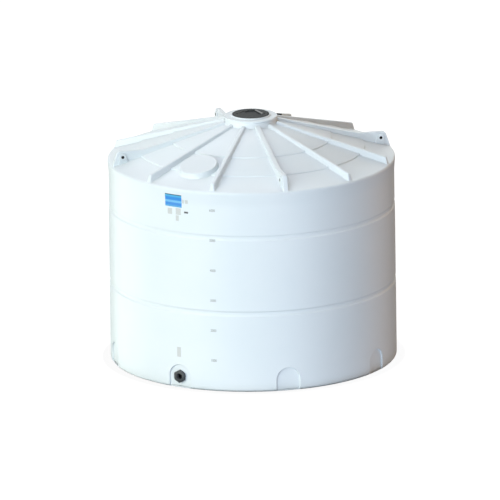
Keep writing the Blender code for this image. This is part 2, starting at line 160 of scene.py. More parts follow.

# %% [markdown]
# The manway lid, the vents and the outlet are black polypropylene, which is mottled and
# a little worn after moulding, and the gasket behind the outlet is dull rubber. Both
# are near black, so what tells them apart is how rough they are and how they catch light.
# The top of the long grip on the lid is painted a mid grey, as a painted highlight
# for the light that the bar catches.

# %% Black polypropylene and rubber
def make_black(name, low, high, roughness, specular):
    material, tree, shader = new_material(name)
    shader.inputs["Specular IOR Level"].default_value = specular
    cloud = spread(tree, noise(tree, 60.0, 4.0), 0.0, 1.0)
    shade = two_tone(tree, cloud, low, high)
    tree.links.new(shade, shader.inputs["Base Color"])
    gloss = spread(tree, noise(tree, 35.0, 4.0), *roughness)
    tree.links.new(gloss, shader.inputs["Roughness"])
    add_bumps(tree, shader, [(noise(tree, 420.0, 2.0), 0.00008)])
    return material


# This near black is the gasket's rubber, and it also lines the lugs' cable holes as painted shade.
def make_gasket_rubber_and_hole_shade():
    material, tree, shader = new_material("black_gasket_rubber_and_painted_hole_shade")
    cloud = spread(tree, noise(tree, 80.0, 4.0), 0.0, 1.0)
    shade = two_tone(tree, cloud, (0.018, 0.018, 0.019), (0.034, 0.034, 0.034))
    tree.links.new(shade, shader.inputs["Base Color"])
    gloss = spread(tree, noise(tree, 50.0, 3.0), 0.72, 0.88)
    tree.links.new(gloss, shader.inputs["Roughness"])
    add_bumps(tree, shader, [(noise(tree, 600.0, 2.0), 0.00006)])
    return material


black = make_black("black_polypropylene", (0.026, 0.030, 0.034), (0.040, 0.045, 0.051),
                   roughness=(0.36, 0.55), specular=0.38)
worn_black = make_black("worn_black_polypropylene", (0.033, 0.036, 0.037), (0.050, 0.054, 0.055),
                        roughness=(0.62, 0.80), specular=0.22)
# Painted highlight: this mid grey goes on the top of the lid's long grip, in place of the light that the
# bar catches.
grip_highlight = make_black("painted_highlight_grey_grip", (0.150, 0.154, 0.158), (0.210, 0.214, 0.218),
                     roughness=(0.50, 0.65), specular=0.50)
rubber_and_hole_shade = make_gasket_rubber_and_hole_shade()
print("made", black.name, worn_black.name, "and", rubber_and_hole_shade.name)

# %% [markdown]
# Every turned piece is a section spun about the Z axis. The section could be typed as a
# long list of points, but its corners are enough: it is drawn as one flat face, each
# corner is rounded with a vertex bevel, and only then is it spun. A hold point on each
# side of a rounded corner keeps the big faces beside it flat when they are shaded smooth.

# %% Helpers for turned pieces
STEPS = 256
ROUND_SEGMENTS = 5
HOLD = 0.005
MERGE = 1e-6


def section(corners):
    """A closed section in the plane y = 0, from corners of (radius, height, rounding)."""
    bm = bmesh.new()
    places = [Vector((radius, 0.0, z)) for radius, z, rounding in corners]
    ring = []
    rounded = []
    for k, here in enumerate(places):
        rounding = corners[k][2]
        sides = [places[k - 1] - here, places[(k + 1) % len(places)] - here]
        holds = [side.length > 2 * (rounding + HOLD) and rounding > 0 for side in sides]
        if holds[0]:
            ring.append(bm.verts.new(here + sides[0].normalized() * (rounding + HOLD)))
        corner = bm.verts.new(here)
        ring.append(corner)
        if rounding:
            rounded.append((corner, rounding))
        if holds[1]:
            ring.append(bm.verts.new(here + sides[1].normalized() * (rounding + HOLD)))
    bm.faces.new(ring)
    for corner, rounding in rounded:
        bmesh.ops.bevel(bm, geom=[corner], offset=rounding, offset_type="OFFSET",
                        segments=ROUND_SEGMENTS, profile=0.5, affect="VERTICES", material=-1)
    bmesh.ops.delete(bm, geom=bm.faces[:], context="FACES_ONLY")
    return bm


def turned(corners, steps=STEPS):
    """Spin a section right round the Z axis."""
    bm = section(corners)
    bmesh.ops.spin(bm, geom=bm.verts[:] + bm.edges[:], axis=(0, 0, 1), cent=(0, 0, 0),
                   angle=2 * pi, steps=steps, use_merge=True)
    bmesh.ops.remove_doubles(bm, verts=bm.verts, dist=MERGE)
    bmesh.ops.dissolve_degenerate(bm, edges=bm.edges, dist=MERGE)
    bmesh.ops.delete(bm, geom=[edge for edge in bm.edges if edge.is_wire], context="EDGES")
    bmesh.ops.recalc_face_normals(bm, faces=bm.faces)
    return bm


def add_piece(name, bm, material, nodes=(), body="tank", sharp=35, second=None):
    """Make an object of a mesh that is in place, and tell the frame what it stands for."""
    mesh = bpy.data.meshes.new(name)
    bm.to_mesh(mesh)
    bm.free()
    mesh.shade_smooth()
    mesh.set_sharp_from_angle(angle=radians(sharp))
    mesh.materials.append(material)
    if second:
        mesh.materials.append(second)
    piece = bpy.data.objects.new(name, mesh)
    bpy.context.scene.collection.objects.link(piece)
    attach(piece, body)
    if nodes:
        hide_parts(*nodes)
    triangles = sum(len(face.vertices) - 2 for face in mesh.polygons)
    print(name, triangles, "triangles, size", [round(side, 3) for side in piece.dimensions])
    return piece


def open_edges(bm):
    """How many edges don't join exactly two faces: none, on a closed piece."""
    return sum(not edge.is_manifold for edge in bm.edges)


# %% [markdown]
# The shell is three courses of wall with a groove between each two, and a cone roof that
# turns over a rolled rim. These are its sizes, in metres. A course ends in the bottom of
# a groove, where a seam can't be seen, and the wall is 15 mm thick all over.

# %% Sizes of the shell
WALL = 0.015
LOWER_RADIUS = 1.790
MIDDLE_RADIUS = 1.788
UPPER_RADIUS = 1.783
GROOVE_DEPTH = 0.012
LOWER_GROOVE_Z = 1.006
UPPER_GROOVE_Z = 1.978
GROOVE_HALF_HEIGHT = 0.034
GROOVE_FLOOR_HALF = 0.018
GROOVE_ROUND = 0.007
FOOT_ROUND = 0.035
FLOOR_RADIUS = 1.745
FLOOR_THICKNESS = 0.020
QUARTERS = ("front", "right", "back", "left")


def with_inside(outer, inner_ends=()):
    """Close an outer line of corners with a copy of it, one wall thickness inward."""
    inside = [(radius - WALL, z, rounding) for radius, z, rounding in reversed(outer)]
    return outer + inside + list(inner_ends)


def groove_side(radius, z, toward):
    """From a groove's middle to the wall beside it; toward is 1 upward and -1 downward."""
    floor = MIDDLE_RADIUS - GROOVE_DEPTH if z > LOWER_GROOVE_Z else LOWER_RADIUS - GROOVE_DEPTH
    return [(floor, z, 0.0),
            (floor, z + toward * GROOVE_FLOOR_HALF, GROOVE_ROUND),
            (radius, z + toward * GROOVE_HALF_HEIGHT, GROOVE_ROUND)]


# %% [markdown]
# The middle course is the plainest: it is only a spun band between two grooves. It is
# made first, to show the way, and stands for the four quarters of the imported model.

# %% Middle course
def make_middle_wall():
    low = groove_side(MIDDLE_RADIUS, LOWER_GROOVE_Z, 1)
    high = groove_side(MIDDLE_RADIUS, UPPER_GROOVE_Z, -1)
    bm = turned(with_inside(low + high[::-1]))
    print("middle course, open edges", open_edges(bm))
    add_piece("middle_wall_band", bm, white,
              [f"middle_wall_{side}" for side in QUARTERS])


make_middle_wall()

# %% [markdown]
# Around the foot the wall is pressed flat in eight places, each an arch with its spring
# 150 mm up, so that fittings can be bolted to a flat face. One way is to cut a prism out
# of the band with a Boolean, but its edges would be knife sharp, and the moulded ones are
# soft. So the arch's outline is cut into the wall's own faces with bisect_plane, the
# faces inside it are deleted, and the open rim is extruded in small steps: over a round
# edge, down the step, round a fillet and onto the flat, which closes the hole.

# %% Sizes of the wall flats
FLAT_COUNT = 8
FLAT_HALF_WIDTH = 0.1475
FLAT_SPRING_Z = 0.150
FLAT_PLANE = 1.765
FLAT_ROUND = 0.007
ARCH_CHORDS = 28
RIM_STEPS = 4


def foot_radius(z, inward=0.0):
    """Radius of the lower course at a height: straight above its rounded foot."""
    below = min(z, FOOT_ROUND) - FOOT_ROUND
    return LOWER_RADIUS - FOOT_ROUND + sqrt(max(FOOT_ROUND ** 2 - below ** 2, 0.0)) - inward


class Skin:
    """One face of the wall, outside or inside, and the arch that is pressed into it."""

    def __init__(self, half_width, plane, inward, bottom, growth):
        self.half_width = half_width
        self.plane = plane
        self.inward = inward
        self.bottom = bottom
        self.growth = growth

    def holds(self, point):
        """True for points of this skin, told from the other one by their radius."""
        depth = foot_radius(point.z) - hypot(point.x, point.y)
        return (depth > WALL / 2) == (self.inward > 0)

    def surface(self, x, z):
        """How far in front of the tank's axis this skin lies, at a place on the front."""
        radius = foot_radius(z, self.inward)
        return sqrt(radius ** 2 - x ** 2)

    def outline(self, margin):
        """Corners of the arch, grown by a margin, from its right foot to its left foot."""
        radius = self.half_width + margin
        arch = [pi * k / ARCH_CHORDS for k in range(ARCH_CHORDS + 1)]
        top = [(radius * cos(a), FLAT_SPRING_Z + radius * sin(a)) for a in arch]
        return [(radius, self.bottom)] + top + [(-radius, self.bottom)]


OUTSIDE = Skin(FLAT_HALF_WIDTH, FLAT_PLANE, 0.0, 0.0047, 0.0)
INSIDE = Skin(FLAT_HALF_WIDTH + WALL, FLAT_PLANE - WALL, WALL, 0.0235, WALL)

# %% Cut the outline of a flat into the wall
EDGE_SLACK = 1e-4


def faces_near(bm, skin, low, high):
    """Faces of one skin at the front that reach into a box of x and z."""
    found = []
    for face in bm.faces:
        if face.calc_center_median().y > -1.0:
            continue
        xs = [vert.co.x for vert in face.verts]
        zs = [vert.co.z for vert in face.verts]
        apart = (max(xs) < low[0] or min(xs) > high[0] or max(zs) < low[1] or min(zs) > high[1])
        if not apart and all(skin.holds(vert.co) for vert in face.verts):
            found.append(face)
    return found


def cut_outline(bm, skin, outline):
    """Cut the wall's faces along each side of an outline, without removing anything."""
    sides = list(zip(outline, outline[1:] + outline[:1]))
    for (x1, z1), (x2, z2) in sides:
        low = (min(x1, x2) - EDGE_SLACK, min(z1, z2) - EDGE_SLACK)
        high = (max(x1, x2) + EDGE_SLACK, max(z1, z2) + EDGE_SLACK)
        faces = faces_near(bm, skin, low, high)
        touched = set(faces)
        for face in faces:
            touched.update(face.edges, face.verts)
        bmesh.ops.bisect_plane(bm, geom=list(touched), dist=EDGE_SLACK / 10,
                               plane_co=(x1, 0, z1), plane_no=(z2 - z1, 0, x1 - x2))


def is_inside(outline, x, z):
    """True where a point lies inside an outline that bulges outward everywhere."""
    for (x1, z1), (x2, z2) in zip(outline, outline[1:] + outline[:1]):
        if (x2 - x1) * (z - z1) - (z2 - z1) * (x - x1) < 0:
            return False
    return True


def open_arch(bm, skin, outline):
    """Delete the faces inside an outline and return the rim that is left."""
    reach = max(z for x, z in outline)
    width = outline[0][0]
    inside = []
    for face in faces_near(bm, skin, (-width, skin.bottom), (width, reach)):
        middle = face.calc_center_median()
        if is_inside(outline, middle.x, middle.z):
            inside.append(face)
    around = {edge for face in inside for edge in face.edges}
    bmesh.ops.delete(bm, geom=inside, context="FACES")
    return [edge for edge in around if edge.is_valid and edge.is_boundary]


# %% Extrude a rim step by step
def extrude_rim(bm, rim, start, place):
    """Extrude a rim and put each new vertex where place says, from where it started."""
    grown = bmesh.ops.extrude_edge_only(bm, edges=rim)["geom"]
    fresh = {item for item in grown if isinstance(item, bmesh.types.BMVert)}
    for vert in fresh:
        others = [edge.other_vert(vert) for edge in vert.link_edges]
        source = next(other for other in others if other not in fresh)
        start[vert] = start[source]
        vert.co = place(start[vert])
    edges = [item for item in grown if isinstance(item, bmesh.types.BMEdge)]
    return [edge for edge in edges if all(vert in fresh for vert in edge.verts)]


def toward_middle(skin, x, z):
    """The direction from a place on the arch's rim straight towards its middle."""
    on_foot = z < skin.bottom + EDGE_SLACK * 10 and abs(x) < skin.half_width - 2 * FLAT_ROUND
    if on_foot:
        return Vector((0.0, 0.0))
    if z <= FLAT_SPRING_Z:
        return Vector((-1.0 if x > 0 else 1.0, 0.0))
    return -Vector((x, z - FLAT_SPRING_Z)).normalized()


def rim_path(skin, across, down, up):
    """A place for each rim vertex: across towards the middle, and down from the wall, or
    up from the flat, whichever of the two is given."""
    def place(start):
        way = toward_middle(skin, start.x, start.z) * across
        x = start.x + way.x
        z = start.z + way.y
        wall = skin.surface(x, z)
        depth = max(wall - skin.plane, 0.0)
        front = wall - min(down, depth / 2) if up is None else skin.plane + min(up, depth / 2)
        return Vector((x, -front, z))
    return place


def press_flat(bm, skin):
    """Press one arch into one skin of the wall, and return the rim of its open flat."""
    cut_outline(bm, skin, skin.outline(FLAT_ROUND + HOLD))
    outline = skin.outline(FLAT_ROUND)
    cut_outline(bm, skin, outline)
    rim = open_arch(bm, skin, outline)
    start = {vert: vert.co.copy() for edge in rim for vert in edge.verts}
    quarter = [pi / 2 * k / RIM_STEPS for k in range(1, RIM_STEPS + 1)]
    for a in quarter:
        across = FLAT_ROUND * sin(a)
        rim = extrude_rim(bm, rim, start, rim_path(skin, across, FLAT_ROUND * (1 - cos(a)), None))
    for a in [0.0] + quarter:
        across = FLAT_ROUND + FLAT_ROUND * (1 - cos(a))
        rim = extrude_rim(bm, rim, start, rim_path(skin, across, None, FLAT_ROUND * (1 - sin(a))))
    return extrude_rim(bm, rim, start, rim_path(skin, 2 * FLAT_ROUND + HOLD, None, 0.0))


# %% [markdown]
# The flat at the front carries the outlet, so its two faces get a round hole instead of
# a plain cap, and the holes are bridged into a bore. The other flats are simply filled.

# %% Lower course with its flats
OUTLET_Z = 0.148
BARREL_RADIUS = 0.056
BORE_STEPS = 48
GAP = 0.0003


def ring_of(bm, radius, front):
    """A circle of edges in the plane of a flat, round the outlet's line."""
    turn = Matrix.Translation((0, -front, OUTLET_Z)) @ Matrix.Rotation(pi / 2, 4, "X")
    made = bmesh.ops.create_circle(bm, radius=radius, segments=BORE_STEPS, matrix=turn)
    return list({edge for vert in made["verts"] for edge in vert.link_edges})


def close_flats(bm, rims, with_bore):
    rings = []
    for skin, rim in rims:
        if with_bore:
            rings.append(ring_of(bm, BARREL_RADIUS + GAP, skin.plane))
            bmesh.ops.triangle_fill(bm, use_beauty=True, edges=rim + rings[-1])
        else:
            bmesh.ops.holes_fill(bm, edges=rim, sides=0)
    if with_bore:
        bmesh.ops.bridge_loops(bm, edges=rings[0] + rings[1])


def lower_wall_corners():
    foot = LOWER_RADIUS - FOOT_ROUND
    turns = [radians(15 * k) for k in range(7)]
    rounding = [(foot + FOOT_ROUND * sin(a), FOOT_ROUND - FOOT_ROUND * cos(a), 0.0) for a in turns]
    straight = [(LOWER_RADIUS, FOOT_ROUND + HOLD, 0.0)]
    groove = groove_side(LOWER_RADIUS, LOWER_GROOVE_Z, -1)[::-1]
    inner = [(radius - WALL, z, rounding) for radius, z, rounding in reversed(groove)]
    inner_turns = [a for a in reversed(turns) if FOOT_ROUND * (1 - cos(a)) > FLOOR_THICKNESS]
    inner_foot = [(foot - WALL + FOOT_ROUND * sin(a), FOOT_ROUND - FOOT_ROUND * cos(a), 0.0)
                  for a in inner_turns]
    floor_edge = FLOOR_RADIUS + GAP
    return ([(floor_edge, 0.0, 0.0)] + rounding + straight + groove + inner + inner_foot
            + [(floor_edge, FLOOR_THICKNESS, 0.0)])


def make_lower_wall():
    bm = turned(lower_wall_corners())
    step = Matrix.Rotation(-2 * pi / FLAT_COUNT, 3, "Z")
    for k in range(FLAT_COUNT):
        rims = [(skin, press_flat(bm, skin)) for skin in (INSIDE, OUTSIDE)]
        close_flats(bm, rims, k == 0)
        bmesh.ops.rotate(bm, cent=(0, 0, 0), matrix=step, verts=bm.verts)
    bmesh.ops.remove_doubles(bm, verts=bm.verts, dist=MERGE)
    bmesh.ops.recalc_face_normals(bm, faces=bm.faces)
    print("lower course, open edges", open_edges(bm))
    add_piece("lower_wall_band", bm, white,
              [f"lower_wall_{k + 1}" for k in range(FLAT_COUNT)])


make_lower_wall()

# %% [markdown]
# Above the top groove the wall flares a little, turns over a rolled rim and becomes the
# roof: a cone that climbs toward the crown, with two low steps on the way. A moulded step
# has no sharp corner, so its height follows a smooth S curve. The roof's height is kept
# as a function, because everything that stands on the roof asks it where the roof is.

# %% Sizes of the roof
EAVE_RADIUS = 1.794
EAVE_BEND_Z = 2.523
WALL_TOP_Z = 2.400
RIM_ROUND = 0.030
ROOF_EDGE_RADIUS = 1.777
ROOF_EDGE_Z = 2.568
ROOF_SLOPE = 0.284
ROOF_BORE = 0.310
STEP_HEIGHT = 0.015
STEP_RADII = (1.418, 1.008)
STEP_RUN = 0.006
STEP_SAMPLES = 8

LEAN = sqrt(1 + ROOF_SLOPE ** 2)
RIM_CENTRE = EAVE_RADIUS - RIM_ROUND
RIM_CENTRE_Z = ROOF_EDGE_Z + ROOF_SLOPE * (ROOF_EDGE_RADIUS - RIM_CENTRE) - LEAN * RIM_ROUND
RIM_START = RIM_CENTRE + RIM_ROUND * ROOF_SLOPE / LEAN


def roof_z(radius):
    """Height of the roof's upper face at a radius, out to the top of its rolled rim."""
    if radius > RIM_START:
        out = min(radius - RIM_CENTRE, RIM_ROUND * 0.98)
        return RIM_CENTRE_Z + sqrt(RIM_ROUND ** 2 - out ** 2)
    height = ROOF_EDGE_Z + ROOF_SLOPE * (ROOF_EDGE_RADIUS - radius)
    for step in STEP_RADII:
        rise = min(max((step + STEP_RUN / 2 - radius) / STEP_RUN, 0.0), 1.0)
        height += STEP_HEIGHT * rise * rise * (3 - 2 * rise)
    return height


def roof_radii(outer, inner):
    """Radii at which the roof bends, from an outer to an inner one."""
    bends = [step + STEP_RUN / 2 - STEP_RUN * k / STEP_SAMPLES
             for step in STEP_RADII for k in range(STEP_SAMPLES + 1)]
    bends = [RIM_START] + bends
    return [outer] + [radius for radius in bends if inner < radius < outer] + [inner]


# %% Upper course and roof
def rim_arc(rounding):
    """The rolled rim, from its outermost point up to where it meets the slope."""
    top = atan(1 / ROOF_SLOPE)
    turns = [top * k / STEP_SAMPLES for k in range(STEP_SAMPLES + 1)]
    return [(RIM_CENTRE + rounding * cos(a), RIM_CENTRE_Z + rounding * sin(a), 0.0) for a in turns]


def make_upper_shell():
    wall = groove_side(UPPER_RADIUS, UPPER_GROOVE_Z, 1)
    wall += [(UPPER_RADIUS, WALL_TOP_Z, 0.030), (EAVE_RADIUS, EAVE_BEND_Z, 0.008)]
    inner_wall = [(radius - WALL, z, rounding) for radius, z, rounding in reversed(wall)]
    radii = roof_radii(RIM_START - HOLD, ROOF_BORE)
    upper = [(radius, roof_z(radius), 0.0) for radius in radii]
    under = [(radius, roof_z(radius) - WALL * LEAN, 0.0) for radius in reversed(radii)]
    outline = wall + rim_arc(RIM_ROUND) + upper + under + rim_arc(RIM_ROUND - WALL)[::-1] + inner_wall
    bm = turned(outline)
    print("upper course and roof, open edges", open_edges(bm))
    add_piece("upper_wall_and_roof", bm, white,
              [f"upper_wall_{side}" for side in QUARTERS] + [f"roof_{side}" for side in QUARTERS])


make_upper_shell()

# %% [markdown]
# Twelve hollow ribs stiffen the roof. Each is a bar with a round top whose foot spreads
# onto the roof in a fillet. The bar is one face, extruded across and bevelled. Its open
# foot is then extruded outward in small steps that ask roof_z for the height, so that the
# fillet climbs over the roof's steps and turns down over the rim as the real one does.

# %% Sizes of the ribs
RIB_COUNT = 12
RIB_BASE_WIDTH = 0.064
RIB_TOP_WIDTH = 0.046
RIB_ROUND = 0.012
RIB_START = 0.341
RIB_TOP_RADIUS = 1.750
RIB_FOOT_RADIUS = 1.770
RIB_TOP_Z = 2.662
RIB_TOP_SLOPE = 0.266
FOOT_FILLET = 0.016
FILLET_STEPS = 4
SINK = 0.0008


def rib_top(radius):
    return RIB_TOP_Z + RIB_TOP_SLOPE * (RIB_TOP_RADIUS - radius)


def roof_place(out, up):
    """A place for each vertex of a foot: out along its own direction, up from the roof."""
    def place(start):
        point, way = start
        moved = point + way * out
        return Vector((moved.x, moved.y, roof_z(hypot(moved.x, moved.y)) + up))
    return place


def spread_foot(bm, fillet):
    """Run the open foot of a piece onto the roof in a hollow round, and close it below."""
    bm.normal_update()
    rim = [edge for edge in bm.edges if edge.is_boundary]
    start = {}
    for vert in {vert for edge in rim for vert in edge.verts}:
        way = Vector((vert.normal.x, vert.normal.y, 0.0)).normalized()
        start[vert] = (vert.co.copy(), way)
    for k in range(1, FILLET_STEPS + 1):
        a = pi / 2 * k / FILLET_STEPS
        rim = extrude_rim(bm, rim, start, roof_place(fillet * (1 - cos(a)), fillet * (1 - sin(a))))
    rim = extrude_rim(bm, rim, start, roof_place(fillet, -SINK))
    under = bmesh.ops.holes_fill(bm, edges=rim, sides=0)["faces"]
    bmesh.ops.triangulate(bm, faces=under)
    bmesh.ops.recalc_face_normals(bm, faces=bm.faces)


def bar(foot, top, base_width, top_width, rounding):
    """A bar on the front line, open below: foot and top are (radius, height) points."""
    bm = bmesh.new()
    ring = [bm.verts.new((-top_width / 2, -radius, z)) for radius, z in foot + top]
    side = bm.faces.new(ring)
    grown = bmesh.ops.extrude_face_region(bm, geom=[side])["geom"]
    far = [item for item in grown if isinstance(item, bmesh.types.BMVert)]
    bmesh.ops.translate(bm, verts=far, vec=(top_width, 0, 0))
    bm.normal_update()
    bmesh.ops.recalc_face_normals(bm, faces=bm.faces)
    foot_places = {(round(radius, 5), round(z, 5)) for radius, z in foot}
    low = {vert for vert in bm.verts if (round(-vert.co.y, 5), round(vert.co.z, 5)) in foot_places}
    for vert in low:
        vert.co.x *= base_width / top_width
    inner = -top[0][0]
    soft = [edge for edge in bm.edges if is_soft_edge(edge, low, inner)]
    bmesh.ops.bevel(bm, geom=soft, offset=rounding, offset_type="OFFSET", segments=4,
                    profile=0.5, affect="EDGES", material=-1, clamp_overlap=True)
    bm.normal_update()
    under = [face for face in bm.faces if face.normal.z < -0.3]
    bmesh.ops.delete(bm, geom=under, context="FACES")
    return bm


def is_soft_edge(edge, low, inner):
    """True for a bar's long upper edges and for the edges of its outer end."""
    first, second = edge.verts
    at_foot = first in low and second in low
    at_inner_end = all(abs(vert.co.y - inner) < 1e-5 for vert in edge.verts)
    across = abs(first.co.x - second.co.x) > 1e-3 and first.co.x * second.co.x < 0
    bend = max((face.normal.angle(edge.link_faces[0].normal) for face in edge.link_faces))
    return not at_foot and not at_inner_end and not (across and bend < radians(25))


def make_ribs():
    for k in range(RIB_COUNT):
        degrees = 15 + 30 * k
        if degrees in LUG_ANGLES:
            continue
        foot = [(radius, roof_z(radius) + FOOT_FILLET)
                for radius in roof_radii(RIB_FOOT_RADIUS, RIB_START)]
        top = [(RIB_START, rib_top(RIB_START)), (RIB_TOP_RADIUS, rib_top(RIB_TOP_RADIUS))]
        bm = bar(foot, top, RIB_BASE_WIDTH, RIB_TOP_WIDTH, RIB_ROUND)
        spread_foot(bm, FOOT_FILLET)
        bmesh.ops.rotate(bm, cent=(0, 0, 0), verts=bm.verts,
                         matrix=Matrix.Rotation(radians(degrees), 3, "Z"))
        print("rib at", degrees, "open edges", open_edges(bm))
        add_piece(f"rib_{k + 1}", bm, white, [f"roof_rib_{k + 1}"])


LUG_ANGLES = (45, 135, 225, 315)
make_ribs()

# %% [markdown]
# Every third rib ends in a tie-down lug: its top stays level from where the rib has come
# down to it, its outer end slopes to the rim, and a hole for a cable goes through a raised
# boss on its sides. Boss and hole are a union and a cut, which a Boolean does best. The
# inside of the hole is painted near black, as painted shade.

# %% Tie-down lugs
LUG_TOP_Z = 2.758
LUG_START = RIB_TOP_RADIUS - (LUG_TOP_Z - RIB_TOP_Z) / RIB_TOP_SLOPE
LUG_TOP_RADIUS = 1.721
LUG_FOOT_RADIUS = 1.780
LUG_CORNER = (0.022, 0.018)
LUG_WIDTH = 0.062
LUG_HOLE_RADIUS = 0.017
LUG_HOLE_PLACE = (1.660, 2.685)
BOSS_RADIUS = 0.048
BOSS_WIDTH = 0.096
BOSS_SPREAD = 0.024
BOSS_LIP = 0.004
BOSS_EDGE = 0.006


def temporary(name, bm):
    mesh = bpy.data.meshes.new(name)
    bm.to_mesh(mesh)
    bm.free()
    obj = bpy.data.objects.new(name, mesh)
    bpy.context.scene.collection.objects.link(obj)
    return obj


def combine(bm, other, operation):
    """Join, cut or overlap two closed meshes and return the result as one bmesh."""
    first = temporary("first", bm)
    second = temporary("second", other)
    modifier = first.modifiers.new("combine", "BOOLEAN")
    modifier.solver = "EXACT"
    modifier.operation = operation
    modifier.object = second
    depsgraph = bpy.context.evaluated_depsgraph_get()
    result = bmesh.new()
    result.from_mesh(first.evaluated_get(depsgraph).to_mesh())
    for obj in (first, second):
        mesh = obj.data
        bpy.data.objects.remove(obj, do_unlink=True)
        bpy.data.meshes.remove(mesh)
    return result


def make_boss():
    radius, z = LUG_HOLE_PLACE
    outer = radius + BOSS_RADIUS + BOSS_LIP
    inner = radius - BOSS_RADIUS - BOSS_SPREAD
    head = [(radius + BOSS_RADIUS * cos(a), z + BOSS_RADIUS * sin(a))
            for a in [pi * k / 16 for k in range(17)]]
    foot = [(inner, roof_z(inner) - SINK), (outer, roof_z(outer) - SINK)]
    bm = bmesh.new()
    ring = [bm.verts.new((-BOSS_WIDTH / 2, -place, height)) for place, height in foot + head]
    side = bm.faces.new(ring)
    grown = bmesh.ops.extrude_face_region(bm, geom=[side])["geom"]
    far = [item for item in grown if isinstance(item, bmesh.types.BMVert)]
    bmesh.ops.translate(bm, verts=far, vec=(BOSS_WIDTH, 0, 0))
    bmesh.ops.recalc_face_normals(bm, faces=bm.faces)
    ends = [edge for edge in bm.edges if abs(edge.verts[0].co.x - edge.verts[1].co.x) < 1e-6]
    bmesh.ops.bevel(bm, geom=ends, offset=BOSS_EDGE, offset_type="OFFSET", segments=3,
                    profile=0.5, affect="EDGES", material=-1)
    return bm


def make_cable_hole():
    """A cutter for the lug's hole, wider at both ends so that the hole's edge is round."""
    half = BOSS_WIDTH / 2
    mouth = LUG_HOLE_RADIUS + 0.003
    far = half + 0.02
    corners = [(0.0, -far, 0.0), (mouth + 0.02, -far, 0.0), (mouth, -half, 0.0),
               (LUG_HOLE_RADIUS, -half + 0.004, 0.0), (LUG_HOLE_RADIUS, half - 0.004, 0.0),
               (mouth, half, 0.0), (mouth + 0.02, far, 0.0), (0.0, far, 0.0)]
    bm = turned(corners, 32)
    place = Matrix.Translation((0, -LUG_HOLE_PLACE[0], LUG_HOLE_PLACE[1]))
    bm.transform(place @ Matrix.Rotation(pi / 2, 4, "Y"))
    return bm


def paint_hole_shade(bm):
    """Give the faces inside the hole the second material, near-black rubber, as painted shade for the
    dark inside of a hollow lug.
    """
    axis = Vector((-LUG_HOLE_PLACE[0], LUG_HOLE_PLACE[1]))
    for face in bm.faces:
        reach = max((Vector(vert.co.yz) - axis).length for vert in face.verts)
        face.material_index = int(reach < LUG_HOLE_RADIUS + 0.004)


def make_lug_ribs():
    for k, degrees in enumerate(LUG_ANGLES):
        foot = [(radius, roof_z(radius) + FOOT_FILLET)
                for radius in roof_radii(LUG_FOOT_RADIUS, RIB_START)]
        top = [(RIB_START, rib_top(RIB_START)), (LUG_START, LUG_TOP_Z),
               (LUG_TOP_RADIUS - LUG_CORNER[0], LUG_TOP_Z),
               (LUG_TOP_RADIUS + LUG_CORNER[1] / 3, LUG_TOP_Z - LUG_CORNER[1])]
        bm = bar(foot, top, RIB_BASE_WIDTH, LUG_WIDTH, RIB_ROUND)
        spread_foot(bm, FOOT_FILLET)
        bm = combine(bm, make_boss(), "UNION")
        bm = combine(bm, make_cable_hole(), "DIFFERENCE")
        # Painted shade: the inside of the cable hole is coloured near black.
        paint_hole_shade(bm)
        bmesh.ops.rotate(bm, cent=(0, 0, 0), verts=bm.verts,
                         matrix=Matrix.Rotation(radians(degrees), 3, "Z"))
        print("lug rib at", degrees, "open edges", open_edges(bm))
        rib = (degrees - 15) // 30 + 1
        add_piece(f"lug_rib_{k + 1}", bm, white,
                  [f"roof_rib_{rib}", f"tie_down_lug_{k + 1}"], second=rubber_and_hole_shade)


make_lug_ribs()

# %% [markdown]
# Beside the front rib a round pad is moulded onto the roof, level with the slope, as a
# flat place for a fitting. It is a turned cap whose lower rim is slid down its own side
# until it is a fillet's height above the roof, and then spread like the foot of a rib.

# %% Roof pad
PAD_PLACE = 1.301
PAD_ANGLE = radians(1.0)
PAD_TOP_RADIUS = 0.235
PAD_HEIGHT = 0.053
PAD_SIDE_RUN = 0.011
PAD_FILLET = 0.010
PAD_EDGE = 0.008
PAD_DEPTH = 0.060
PAD_STEPS = 128


def slope_frame(radius, angle):
    """A frame on the roof's upper face, its Z along the face's normal."""
    place = Vector((radius * sin(angle), -radius * cos(angle), roof_z(radius)))
    tilt = Matrix.Rotation(atan(ROOF_SLOPE), 4, "X")
    return Matrix.Translation(place) @ Matrix.Rotation(angle, 4, "Z") @ tilt


def settle(low, high, lift):
    """The place between two points that lies just this far above the roof."""
    for _ in range(30):
        middle = (low + high) / 2
        if middle.z > roof_z(hypot(middle.x, middle.y)) + lift:
            high = middle
        else:
            low = middle
    return (low + high) / 2


def make_pad():
    side = (PAD_HEIGHT - PAD_FILLET, PAD_SIDE_RUN)
    low_radius = PAD_TOP_RADIUS + side[1] * (PAD_HEIGHT + PAD_DEPTH) / side[0]
    bm = turned([(0.0, PAD_HEIGHT, 0.0), (PAD_TOP_RADIUS, PAD_HEIGHT, PAD_EDGE),
                 (low_radius, -PAD_DEPTH, 0.0), (0.0, -PAD_DEPTH, 0.0)], PAD_STEPS)
    bm.normal_update()
    base = [face for face in bm.faces if face.normal.z < -0.9]
    bmesh.ops.delete(bm, geom=base, context="FACES")
    bm.transform(slope_frame(PAD_PLACE, PAD_ANGLE))
    rim = {vert for edge in bm.edges if edge.is_boundary for vert in edge.verts}
    places = {}
    for vert in rim:
        above = next(edge.other_vert(vert) for edge in vert.link_edges if not edge.is_boundary)
        places[vert] = settle(vert.co.copy(), above.co.copy(), PAD_FILLET)
    for vert, place in places.items():
        vert.co = place
    spread_foot(bm, PAD_FILLET)
    print("roof pad, open edges", open_edges(bm))
    add_piece("pad", bm, white, ["roof_pad"])


make_pad()

# %% [markdown]
# The crown in the middle of the roof is a flange on a neck that flares out onto the roof.
# A narrow ring stands up from it round the lid, and its throat is threaded. One
# section spun round gives it all; the thread is drawn as rings, because a helix with the
# pitch of this one can't be told from rings through a gap of a few millimetres.

